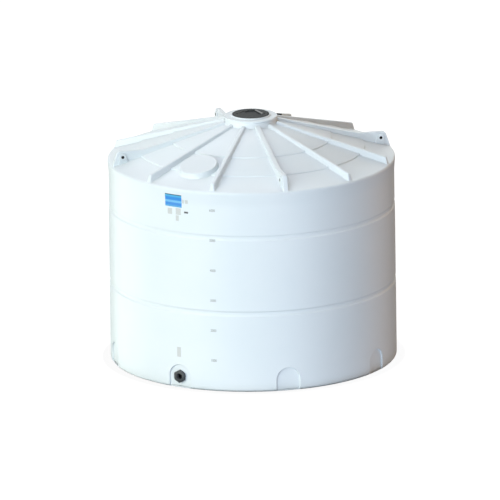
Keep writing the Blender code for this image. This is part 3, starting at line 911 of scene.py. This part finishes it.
# %% Crown
CROWN_RADIUS = 0.332
CROWN_TOP_Z = 3.111
CROWN_RING = 0.024
CROWN_NECK_RADIUS = 0.323
CROWN_FOOT_RADIUS = 0.346
CROWN_FILLET = 0.012
CROWN_WALL = 0.016
FLANGE_Z = 3.094
FLANGE_ROUND = 0.012
SEAT_RING_RADIUS = 0.247
REBATE_RADIUS = 0.235
SEAT_Z = 3.099
THROAT_RADIUS = 0.205
THROAT_BOTTOM_Z = 3.022
THREAD_PITCH = 0.018
THREAD_DEPTH = 0.004
THREAD_TURNS = 3


def thread(radius, top, depth):
    """Rings of thread down a wall: each is a ridge of the given depth, which may be < 0."""
    corners = []
    for k in range(THREAD_TURNS):
        z = top - THREAD_PITCH * (k + 0.5)
        corners += [(radius, z + 0.004, 0.0), (radius + depth, z + 0.0015, 0.0),
                    (radius + depth, z - 0.0015, 0.0), (radius, z - 0.004, 0.0)]
    return corners


def make_crown():
    foot_z = roof_z(CROWN_FOOT_RADIUS)
    outer_foot = CROWN_FOOT_RADIUS + CROWN_FILLET
    inner_foot = CROWN_FOOT_RADIUS - CROWN_WALL
    ring_z = FLANGE_Z - CROWN_RING
    neck_inside = CROWN_NECK_RADIUS - CROWN_WALL
    corners = [(outer_foot, roof_z(outer_foot) - SINK, 0.0), (outer_foot, roof_z(outer_foot), 0.0),
               (CROWN_FOOT_RADIUS, foot_z, CROWN_FILLET * 0.9),
               (CROWN_NECK_RADIUS + 0.008, (foot_z + ring_z) / 2, 0.020),
               (CROWN_NECK_RADIUS, ring_z - 0.003, 0.003),
               (CROWN_RADIUS, ring_z, 0.004), (CROWN_RADIUS, FLANGE_Z, FLANGE_ROUND),
               (SEAT_RING_RADIUS + 0.002, FLANGE_Z, 0.003), (SEAT_RING_RADIUS, CROWN_TOP_Z, 0.003),
               (REBATE_RADIUS, CROWN_TOP_Z, 0.002), (REBATE_RADIUS, SEAT_Z, 0.002),
               (THROAT_RADIUS, SEAT_Z, 0.003)]
    corners += thread(THROAT_RADIUS, SEAT_Z - 0.008, THREAD_DEPTH)
    corners += [(THROAT_RADIUS, THROAT_BOTTOM_Z, 0.003),
                (THROAT_RADIUS + CROWN_WALL, THROAT_BOTTOM_Z, 0.003),
                (THROAT_RADIUS + CROWN_WALL, SEAT_Z - CROWN_WALL, 0.006),
                (neck_inside, SEAT_Z - CROWN_WALL, 0.006),
                (neck_inside + 0.008, (foot_z + ring_z) / 2, 0.010),
                (inner_foot, roof_z(inner_foot) - SINK, 0.0)]
    bm = turned(corners, 192)
    print("crown, open edges", open_edges(bm))
    add_piece("crown", bm, white, ["crown_collar"])


make_crown()

# %% [markdown]
# The lid screws into the crown and lifts out of it, so it rides on a body of its own. It
# is black, with a shallow dished middle, two straight grips that stand in the dish and a
# finger hole on either side. The disc is turned, the grips are joined to it as bevelled
# bars and the finger holes are cut.

# %% Manway lid
LID_RADIUS = 0.229
LID_TOP_Z = 3.116
LID_RECESS_RADIUS = 0.140
LID_RECESS = 0.008
LID_PLATE = 0.005
LID_SKIRT_RADIUS = 0.198
LID_SKIRT_WALL = 0.008
LID_SKIRT_Z = 3.045
GRIP_WIDTH = 0.030
GRIP_RISE = 0.012
SHORT_GRIP_END = -0.030
GRIPS = (((0.067, 0.087), 0.205, -33.5), ((-0.069, 0.115), 0.075, 31.0))
POCKET_PLACE = 0.170
POCKET_ANGLE = 31.0
POCKET_RADIUS = 0.014
POCKET_DEPTH = 0.007


def make_grip(middle, length, degrees):
    low = LID_TOP_Z - LID_RECESS - LID_PLATE / 2
    high = LID_TOP_Z + GRIP_RISE
    bm = bmesh.new()
    turn = Matrix.Rotation(radians(degrees), 4, "Z")
    size = Matrix.Diagonal((length, GRIP_WIDTH, high - low, 1.0))
    place = Matrix.Translation((*middle, (low + high) / 2)) @ turn
    bmesh.ops.create_cube(bm, size=1.0, matrix=size)
    bmesh.ops.bevel(bm, geom=bm.edges[:], offset=0.004, offset_type="OFFSET", segments=3,
                    profile=0.5, affect="EDGES", material=-1)
    bm.transform(place)
    return bm


def make_pocket(degrees):
    top = LID_TOP_Z
    bm = turned([(0.0, top + 0.01, 0.0), (POCKET_RADIUS + 0.013, top + 0.01, 0.0),
                 (POCKET_RADIUS, top - 0.003, 0.002), (POCKET_RADIUS, top - POCKET_DEPTH, 0.003),
                 (0.0, top - POCKET_DEPTH, 0.0)], 40)
    turn = Matrix.Rotation(radians(degrees), 4, "Z")
    bm.transform(turn @ Matrix.Translation((POCKET_PLACE, 0, 0)))
    return bm


def make_lid():
    recess = LID_TOP_Z - LID_RECESS
    under = SEAT_Z + GAP
    skirt = LID_SKIRT_RADIUS - LID_SKIRT_WALL
    corners = [(0.0, recess, 0.0), (LID_RECESS_RADIUS - 0.006, recess, 0.004),
               (LID_RECESS_RADIUS, LID_TOP_Z, 0.003), (LID_RADIUS, LID_TOP_Z, 0.005),
               (LID_RADIUS, under, 0.0015), (LID_SKIRT_RADIUS, under, 0.002)]
    corners += thread(LID_SKIRT_RADIUS, under - 0.002, THREAD_DEPTH)
    corners += [(LID_SKIRT_RADIUS, LID_SKIRT_Z, 0.002), (skirt, LID_SKIRT_Z, 0.002),
                (skirt, recess - LID_PLATE, 0.004), (0.0, recess - LID_PLATE, 0.0)]
    bm = turned(corners, 128)
    for grip in GRIPS:
        bm = combine(bm, make_grip(*grip), "UNION")
    for half_turn in (0, 180):
        bm = combine(bm, make_pocket(POCKET_ANGLE + half_turn), "DIFFERENCE")
    # Painted highlight: the faces of the long grip above the lid's top take the second, mid-grey
    # material; the short grip, left of SHORT_GRIP_END, stays black.
    for face in bm.faces:
        middle = face.calc_center_median()
        face.material_index = int(middle.z > LID_TOP_Z + 0.001 and middle.x > SHORT_GRIP_END)
    print("lid, open edges", open_edges(bm))
    add_piece("lid_disc", bm, worn_black, ["manway_lid"], "lid", second=grip_highlight)


make_lid()

# %% [markdown]
# Two small breathers let air in as the tank empties: a knob on the lid and a cap behind
# the crown. Both are turned pieces, each on a flange, with a gap under the cap.

# %% Breathers
def make_breather(name, corners, place, nodes, body):
    bm = turned(corners, 64)
    bm.transform(place)
    print(name, "open edges", open_edges(bm))
    add_piece(name, bm, worn_black, nodes, body=body)


KNOB_RADIUS = 0.016
KNOB_HEIGHT = 0.014
KNOB_PLACE = (-0.099, 0.056)
CAP_RADIUS = 0.034
CAP_FLANGE = 0.043
CAP_HEIGHT = 0.046
CAP_PLACE = 0.680

knob_corners = [(0.0, GAP, 0.0), (KNOB_RADIUS, GAP, 0.0), (KNOB_RADIUS, 0.004, 0.001),
                (KNOB_RADIUS - 0.004, 0.004, 0.001), (KNOB_RADIUS - 0.004, 0.006, 0.001),
                (KNOB_RADIUS, 0.006, 0.001), (KNOB_RADIUS, KNOB_HEIGHT, 0.003),
                (0.0, KNOB_HEIGHT, 0.0)]
cap_corners = [(0.0, GAP, 0.0), (CAP_FLANGE, GAP, 0.0), (CAP_FLANGE, CAP_HEIGHT / 3, 0.003),
               (CAP_RADIUS - 0.006, CAP_HEIGHT / 3 + 0.001, 0.002),
               (CAP_RADIUS - 0.006, CAP_HEIGHT / 3 + 0.005, 0.001),
               (CAP_RADIUS, CAP_HEIGHT / 3 + 0.006, 0.001), (CAP_RADIUS, CAP_HEIGHT, 0.007),
               (0.0, CAP_HEIGHT, 0.0)]
on_lid = Matrix.Translation((*KNOB_PLACE, LID_TOP_Z - LID_RECESS))
make_breather("lid_breather", knob_corners, on_lid, ["lid_vent"], "lid")
make_breather("roof_breather", cap_corners, slope_frame(CAP_PLACE, pi), ["rear_vent"], "tank")

# %% [markdown]
# The outlet at the foot is a bulkhead fitting: a hexagonal body with a threaded bore
# outside, a rubber gasket under it, and a nut on the barrel inside the wall. The hexagon
# is a six-sided cone of equal ends, bevelled, and its corners are turned off by keeping
# only what lies inside a chamfered disc. Everything is drawn along Z and then laid down.

# %% Outlet
HEX_RADIUS = 0.084
HEX_LENGTH = 0.032
OUTLET_BORE = 0.038
GASKET_RADIUS = 0.074
GASKET = 0.005
NUT = 0.022
BARREL_PAST_NUT = 0.014
HEX_EDGE = 0.002
CORNER_TURNED = 0.007


def laid_down(bm, front):
    """Lay a piece drawn along Z on the outlet's line, its Z = 0 this far in front."""
    bm.transform(Matrix.Translation((0, -front, OUTLET_Z)) @ Matrix.Rotation(pi / 2, 4, "X"))
    return bm


def make_hexagon(length, chamfer_low):
    bm = bmesh.new()
    middle = Matrix.Translation((0, 0, length / 2))
    bmesh.ops.create_cone(bm, cap_ends=True, segments=6, radius1=HEX_RADIUS, radius2=HEX_RADIUS,
                          depth=length, matrix=middle)
    bmesh.ops.bevel(bm, geom=bm.edges[:], offset=HEX_EDGE, offset_type="OFFSET", segments=3,
                    profile=0.5, affect="EDGES", material=-1)
    flats = HEX_RADIUS * cos(pi / 6)
    low = [(HEX_RADIUS + 0.001, -0.001, 0.0)]
    if chamfer_low:
        low = [(flats, -0.001, 0.0), (HEX_RADIUS + 0.001, CORNER_TURNED, 0.0)]
    disc = turned([(0.0, -0.001, 0.0)] + low + [(HEX_RADIUS + 0.001, length - CORNER_TURNED, 0.0),
                                                 (flats, length + 0.001, 0.0),
                                                 (0.0, length + 0.001, 0.0)], 96)
    return combine(bm, disc, "INTERSECT")


def bore_cutter(radius, low, high, turns):
    """A cutter for a bore from low to high, with rings of thread near its front."""
    corners = [(0.0, low, 0.0), (radius, low, 0.0)]
    for k in range(turns):
        z = high - 0.004 - 0.005 * (turns - 1 - k)
        corners += [(radius, z - 0.0022, 0.0), (radius + 0.0022, z, 0.0), (radius, z + 0.0022, 0.0)]
    corners += [(radius, high - 0.001, 0.0), (radius + 0.004, high + 0.003, 0.0),
                (0.0, high + 0.003, 0.0)]
    return turned(corners, 96)


def make_outlet():
    outside = FLAT_PLANE + GAP
    inside = FLAT_PLANE - WALL - GAP
    seat = outside + GASKET + GAP
    through = BARREL_RADIUS + GAP

    ring = turned([(through, 0.0, 0.0), (GASKET_RADIUS, 0.0, 0.001), (GASKET_RADIUS, GASKET, 0.001),
                   (through, GASKET, 0.0)], 96)
    laid_down(ring, outside)
    add_piece("gasket", ring, rubber_and_hole_shade, ["outlet_gasket"])

    back = inside - NUT - BARREL_PAST_NUT - seat
    barrel = turned([(0.0, back, 0.0), (BARREL_RADIUS, back, 0.002), (BARREL_RADIUS, HEX_LENGTH / 3, 0.0),
                     (0.0, HEX_LENGTH / 3, 0.0)], 96)
    body = combine(make_hexagon(HEX_LENGTH, False), barrel, "UNION")
    body = combine(body, bore_cutter(OUTLET_BORE, back - 0.01, HEX_LENGTH, 9), "DIFFERENCE")
    laid_down(body, seat)
    print("outlet body, open edges", open_edges(body))
    add_piece("outlet_body", body, black, ["outlet_fitting"])

    nut = combine(make_hexagon(NUT, True), bore_cutter(through, -0.01, NUT + 0.01, 0), "DIFFERENCE")
    laid_down(nut, inside - NUT)
    add_piece("bulkhead_nut", nut, black, ["outlet_nut"])


make_outlet()

# %% [markdown]
# The floor of the tank is a plain moulded disc. Its edge meets the foot of the wall.

# %% Floor disc
def make_floor_disc():
    bm = turned([(0.0, 0.0, 0.0), (FLOOR_RADIUS, 0.0, 0.0), (FLOOR_RADIUS, FLOOR_THICKNESS, 0.0),
                 (0.0, FLOOR_THICKNESS, 0.0)])
    print("floor disc, open edges", open_edges(bm))
    add_piece("floor_disc", bm, white, ["tank_floor"])


make_floor_disc()

# %% [markdown]
# The wall carries a square adhesive label and a column of plain numbers that gauge the
# contents. Both are thin solids drawn flat and then wrapped onto the wall: a point's
# place across becomes an angle, and its thickness a distance from the tank's axis.

# %% Helpers for what is wrapped on the wall
def wall_radius(z):
    """Radius of the outer wall at a height, grooves left out."""
    if z < LOWER_GROOVE_Z:
        return LOWER_RADIUS
    if z < UPPER_GROOVE_Z:
        return MIDDLE_RADIUS
    flare = min(max((z - WALL_TOP_Z) / (EAVE_BEND_Z - WALL_TOP_Z), 0.0), 1.0)
    return UPPER_RADIUS + flare * (EAVE_RADIUS - UPPER_RADIUS)


def wrap(bm, degrees, z, lift):
    """Wrap a mesh drawn in X and Y, with its thickness along Z, onto the wall."""
    for vert in bm.verts:
        height = z + vert.co.y
        radius = wall_radius(height)
        angle = radians(degrees) + vert.co.x / radius
        out = radius + lift + vert.co.z
        vert.co = Vector((out * sin(angle), -out * cos(angle), height))


# %% Label
LABEL_ANGLES = (-5.9, 1.9)
LABEL_HEIGHTS = (2.324, 2.486)
FILM = 0.0004
FILM_LIFT = 0.0003


def make_label_finish():
    """Blue printed film: level bands in three blues with a thin pale rule between two."""
    material, tree, shader = new_material("blue_printed_film")
    place = tree.nodes.new("ShaderNodeTexCoord")
    axes = tree.nodes.new("ShaderNodeSeparateXYZ")
    tree.links.new(place.outputs["Object"], axes.inputs["Vector"])
    ramp = tree.nodes.new("ShaderNodeValToRGB")
    ramp.color_ramp.interpolation = "CONSTANT"
    low, high = LABEL_HEIGHTS
    level = spread(tree, axes.outputs["Z"], 0.0, 1.0, (low + high) / 2, (high - low) / 2)
    tree.links.new(level, ramp.inputs["Fac"])
    bands = [(0.0, (0.062, 0.300, 0.560)), (0.12, (0.026, 0.205, 0.560)), (0.34, (0.130, 0.400, 0.660)),
             (0.52, (0.026, 0.210, 0.570)), (0.78, (0.066, 0.340, 0.590)), (0.93, (0.020, 0.070, 0.110))]
    ramp.color_ramp.elements[0].position = bands[0][0]
    ramp.color_ramp.elements[0].color = (*bands[0][1], 1.0)
    ramp.color_ramp.elements[1].position = bands[-1][0]
    ramp.color_ramp.elements[1].color = (*bands[-1][1], 1.0)
    for position, colour in bands[1:-1]:
        element = ramp.color_ramp.elements.new(position)
        element.color = (*colour, 1.0)
    tree.links.new(ramp.outputs["Color"], shader.inputs["Base Color"])
    gloss = spread(tree, noise(tree, 60.0, 3.0), 0.28, 0.40)
    tree.links.new(gloss, shader.inputs["Roughness"])
    add_bumps(tree, shader, [(noise(tree, 30.0, 2.0), 0.0003)])
    return material


def make_patch(name, angles, heights, finish):
    """A rectangle of thin film on the wall, between two angles and two heights."""
    bm = bmesh.new()
    width = radians(angles[1] - angles[0]) * UPPER_RADIUS
    height = heights[1] - heights[0]
    bmesh.ops.create_grid(bm, x_segments=24, y_segments=12, size=0.5,
                          matrix=Matrix.Diagonal((width, height, 1.0, 1.0)))
    grown = bmesh.ops.extrude_face_region(bm, geom=bm.faces[:])["geom"]
    top = [item for item in grown if isinstance(item, bmesh.types.BMVert)]
    bmesh.ops.translate(bm, verts=top, vec=(0, 0, FILM))
    bmesh.ops.recalc_face_normals(bm, faces=bm.faces)
    wrap(bm, sum(angles) / 2, sum(heights) / 2, FILM_LIFT)
    print(name, "open edges", open_edges(bm))
    add_piece(name, bm, finish)


make_patch("label", LABEL_ANGLES, LABEL_HEIGHTS, make_label_finish())

# %% [markdown]
# Small tags are stuck on beside the label and over the outlet. They are made as patches of
# level grey rules, as a page of print looks from afar, and a wave texture draws the rules.

# %% Ruled tags
RULES_PER_METRE = 26.0
TAGS = (
    ("ruled_tag_left", (-4.75, -2.60), (2.225, 2.302)),
    ("ruled_tag_middle", (-0.90, 1.50), (2.228, 2.312)),
    ("ruled_tag_tail", (-0.90, 0.50), (2.150, 2.222)),
    ("ruled_tag_by_label", (2.15, 2.95), (2.382, 2.430)),
    ("ruled_tag_edge", (3.40, 4.70), (2.382, 2.430)),
    ("ruled_tag_low", (-1.00, 0.80), (0.400, 0.528)),
)
BAR_ANGLES = (2.95, 4.75)
BAR_HEIGHTS = (2.259, 2.282)


def make_rules(name, dark, pale):
    """Level rules of a dark tone on a pale one."""
    material, tree, shader = new_material(name)
    place = tree.nodes.new("ShaderNodeTexCoord")
    wave = tree.nodes.new("ShaderNodeTexWave")
    wave.bands_direction = "Z"
    wave.inputs["Scale"].default_value = RULES_PER_METRE
    tree.links.new(place.outputs["Object"], wave.inputs["Vector"])
    tree.links.new(two_tone(tree, wave.outputs["Fac"], dark, pale), shader.inputs["Base Color"])
    gloss = spread(tree, noise(tree, 60.0, 3.0), 0.38, 0.48)
    tree.links.new(gloss, shader.inputs["Roughness"])
    return material


def make_tags():
    faint = make_rules("faint_grey_print", (0.347, 0.347, 0.339), (0.603, 0.633, 0.641))
    strong = make_rules("dark_grey_print", (0.053, 0.053, 0.057), (0.090, 0.090, 0.094))
    for name, angles, heights in TAGS:
        make_patch(name, angles, heights, faint)
    make_patch("dark_bar", BAR_ANGLES, BAR_HEIGHTS, strong)


make_tags()

# %% Gauge numbers
NUMBER_ANGLE = 15.03
NUMBER_COUNT = 6
FIRST_NUMBER_Z = 0.397
NUMBER_STEP = 0.3855
NUMBER_SIZE = 0.046
NUMBER_WIDTH = 0.076
STROKE = 0.0014
INK = 0.0002


def make_ink():
    material, tree, shader = new_material("grey_ink")
    patch = spread(tree, noise(tree, 220.0, 4.0), 0.0, 1.0)
    shade = two_tone(tree, patch, (0.300, 0.315, 0.315), (0.370, 0.385, 0.385))
    tree.links.new(shade, shader.inputs["Base Color"])
    gloss = spread(tree, noise(tree, 150.0, 2.0), 0.45, 0.60)
    tree.links.new(gloss, shader.inputs["Roughness"])
    return material


def letters(body, size, width):
    """Plain figures as a thin solid mesh in X and Y, with their middle at the origin."""
    curve = bpy.data.curves.new("figures", "FONT")
    curve.body = body
    curve.size = size
    curve.align_x = "CENTER"
    curve.align_y = "CENTER"
    curve.extrude = INK / 2
    curve.offset = STROKE
    curve.resolution_u = 4
    obj = bpy.data.objects.new("figures", curve)
    bpy.context.scene.collection.objects.link(obj)
    depsgraph = bpy.context.evaluated_depsgraph_get()
    bm = bmesh.new()
    bm.from_mesh(obj.evaluated_get(depsgraph).to_mesh())
    bpy.data.objects.remove(obj, do_unlink=True)
    bpy.data.curves.remove(curve)
    bmesh.ops.remove_doubles(bm, verts=bm.verts, dist=MERGE)
    reach = max(abs(vert.co.x) for vert in bm.verts)
    bmesh.ops.scale(bm, verts=bm.verts, vec=(width / 2 / reach, 1.0, 1.0))
    return bm


def make_numbers():
    ink = make_ink()
    for k in range(NUMBER_COUNT):
        bm = letters(str(1000 * (k + 1)), NUMBER_SIZE, NUMBER_WIDTH)
        wrap(bm, NUMBER_ANGLE, FIRST_NUMBER_Z + NUMBER_STEP * k, INK)
        bmesh.ops.recalc_face_normals(bm, faces=bm.faces)
        add_piece(f"gauge_number_{k + 1}", bm, ink, sharp=30)


make_numbers()

# %% [markdown]
# The tank stands on a plain pale floor that runs past the picture on all sides. It glows,
# so that it shows white, and it neither lights nor shades the tank, which would wash out
# its dark side. What a real floor does close to the foot, where it darkens the rounded
# edge, is done by a small grey disc in the floor's place that isn't seen.

# %% Stage
FLOOR_HALF = 60.0
SHADE_RADIUS = 1.90
BELOW = 0.001


def make_floor_paint(name, low, high, glow):
    material, tree, shader = new_material(name)
    tone = spread(tree, noise(tree, 0.8, 2.0), 0.0, 1.0)
    tree.links.new(two_tone(tree, tone, (low, low, low), (high, high, high)),
                   shader.inputs["Base Color"])
    shader.inputs["Roughness"].default_value = 0.9
    shader.inputs["Specular IOR Level"].default_value = 0.0
    shader.inputs["Emission Color"].default_value = (1.0, 1.0, 1.0, 1.0)
    shader.inputs["Emission Strength"].default_value = glow
    return material


def add_floor(name, bm, material):
    bmesh.ops.translate(bm, verts=bm.verts, vec=(0, 0, -BELOW))
    mesh = bpy.data.meshes.new(name)
    bm.to_mesh(mesh)
    bm.free()
    mesh.materials.append(material)
    floor = bpy.data.objects.new(name, mesh)
    bpy.context.scene.collection.objects.link(floor)
    return floor


def make_stage():
    wide = bmesh.new()
    bmesh.ops.create_grid(wide, x_segments=1, y_segments=1, size=FLOOR_HALF)
    floor = add_floor("studio_floor", wide, make_floor_paint("pale_floor", 0.12, 0.13, 0.96))
    floor.visible_diffuse = False
    floor.visible_glossy = False
    floor.visible_shadow = False
    small = bmesh.new()
    bmesh.ops.create_circle(small, cap_ends=True, radius=SHADE_RADIUS, segments=96)
    shade = add_floor("foot_shade", small, make_floor_paint("shade_grey", 0.080, 0.086, 0.0))
    shade.visible_camera = False
    shade.visible_glossy = False
    print("made", floor.name, "and", shade.name)


make_stage()

# %% [markdown]
# The light is that of a studio: a broad cool one in front on the left, warmer ones beside
# and behind on the left that draw the rim, a high one behind, and very little from the
# right, where the tank turns grey. Suns with a wide angle are used, because from this far
# away they light the whole tank evenly and their shadows are as soft as those of panels.

# %% Light
SUN_WIDTH = 50.0
SUNS = (
    ("front", 0.0, 8.0, (0.395, 0.505, 0.577)),
    ("high_front", 0.0, 55.0, (0.340, 0.339, 0.358)),
    ("front_left", -30.0, 8.0, (0.577, 0.544, 0.426)),
    ("low_left", -90.0, -25.0, (0.481, 0.519, 0.494)),
    ("high_left", -120.0, 55.0, (0.312, 0.310, 0.360)),
    ("back_left", -150.0, 8.0, (0.227, 0.240, 0.233)),
    ("high_back", 180.0, 55.0, (0.253, 0.270, 0.244)),
    ("back_right", 150.0, 8.0, (0.188, 0.087, 0.008)),
    ("right", 60.0, 8.0, (0.247, 0.246, 0.254)),
    ("low_right", 60.0, -25.0, (0.278, 0.306, 0.363)),
)
ROOM = (0.004, 0.004, 0.004)


def make_sun(name, azimuth, height, tint):
    """A soft sun; its tint is the brightness that it gives a white wall facing it."""
    light = bpy.data.lights.new(name, "SUN")
    light.energy = pi * max(tint)
    light.color = [value / max(tint) for value in tint]
    light.angle = radians(SUN_WIDTH)
    sun = bpy.data.objects.new(name, light)
    a = radians(azimuth)
    e = radians(height)
    toward = Vector((sin(a) * cos(e), -cos(a) * cos(e), sin(e)))
    turn = toward.to_track_quat("Z", "Y").to_matrix().to_4x4()
    sun.matrix_world = Matrix.Translation(toward * 10) @ turn
    bpy.context.scene.collection.objects.link(sun)


for sun in SUNS:
    make_sun(*sun)

world = bpy.data.worlds.new("studio")
bpy.context.scene.world = world
world.use_nodes = True
world.node_tree.nodes["Background"].inputs["Color"].default_value = (*ROOM, 1.0)
bpy.context.scene.view_settings.view_transform = "Standard"
print("suns", len(SUNS))
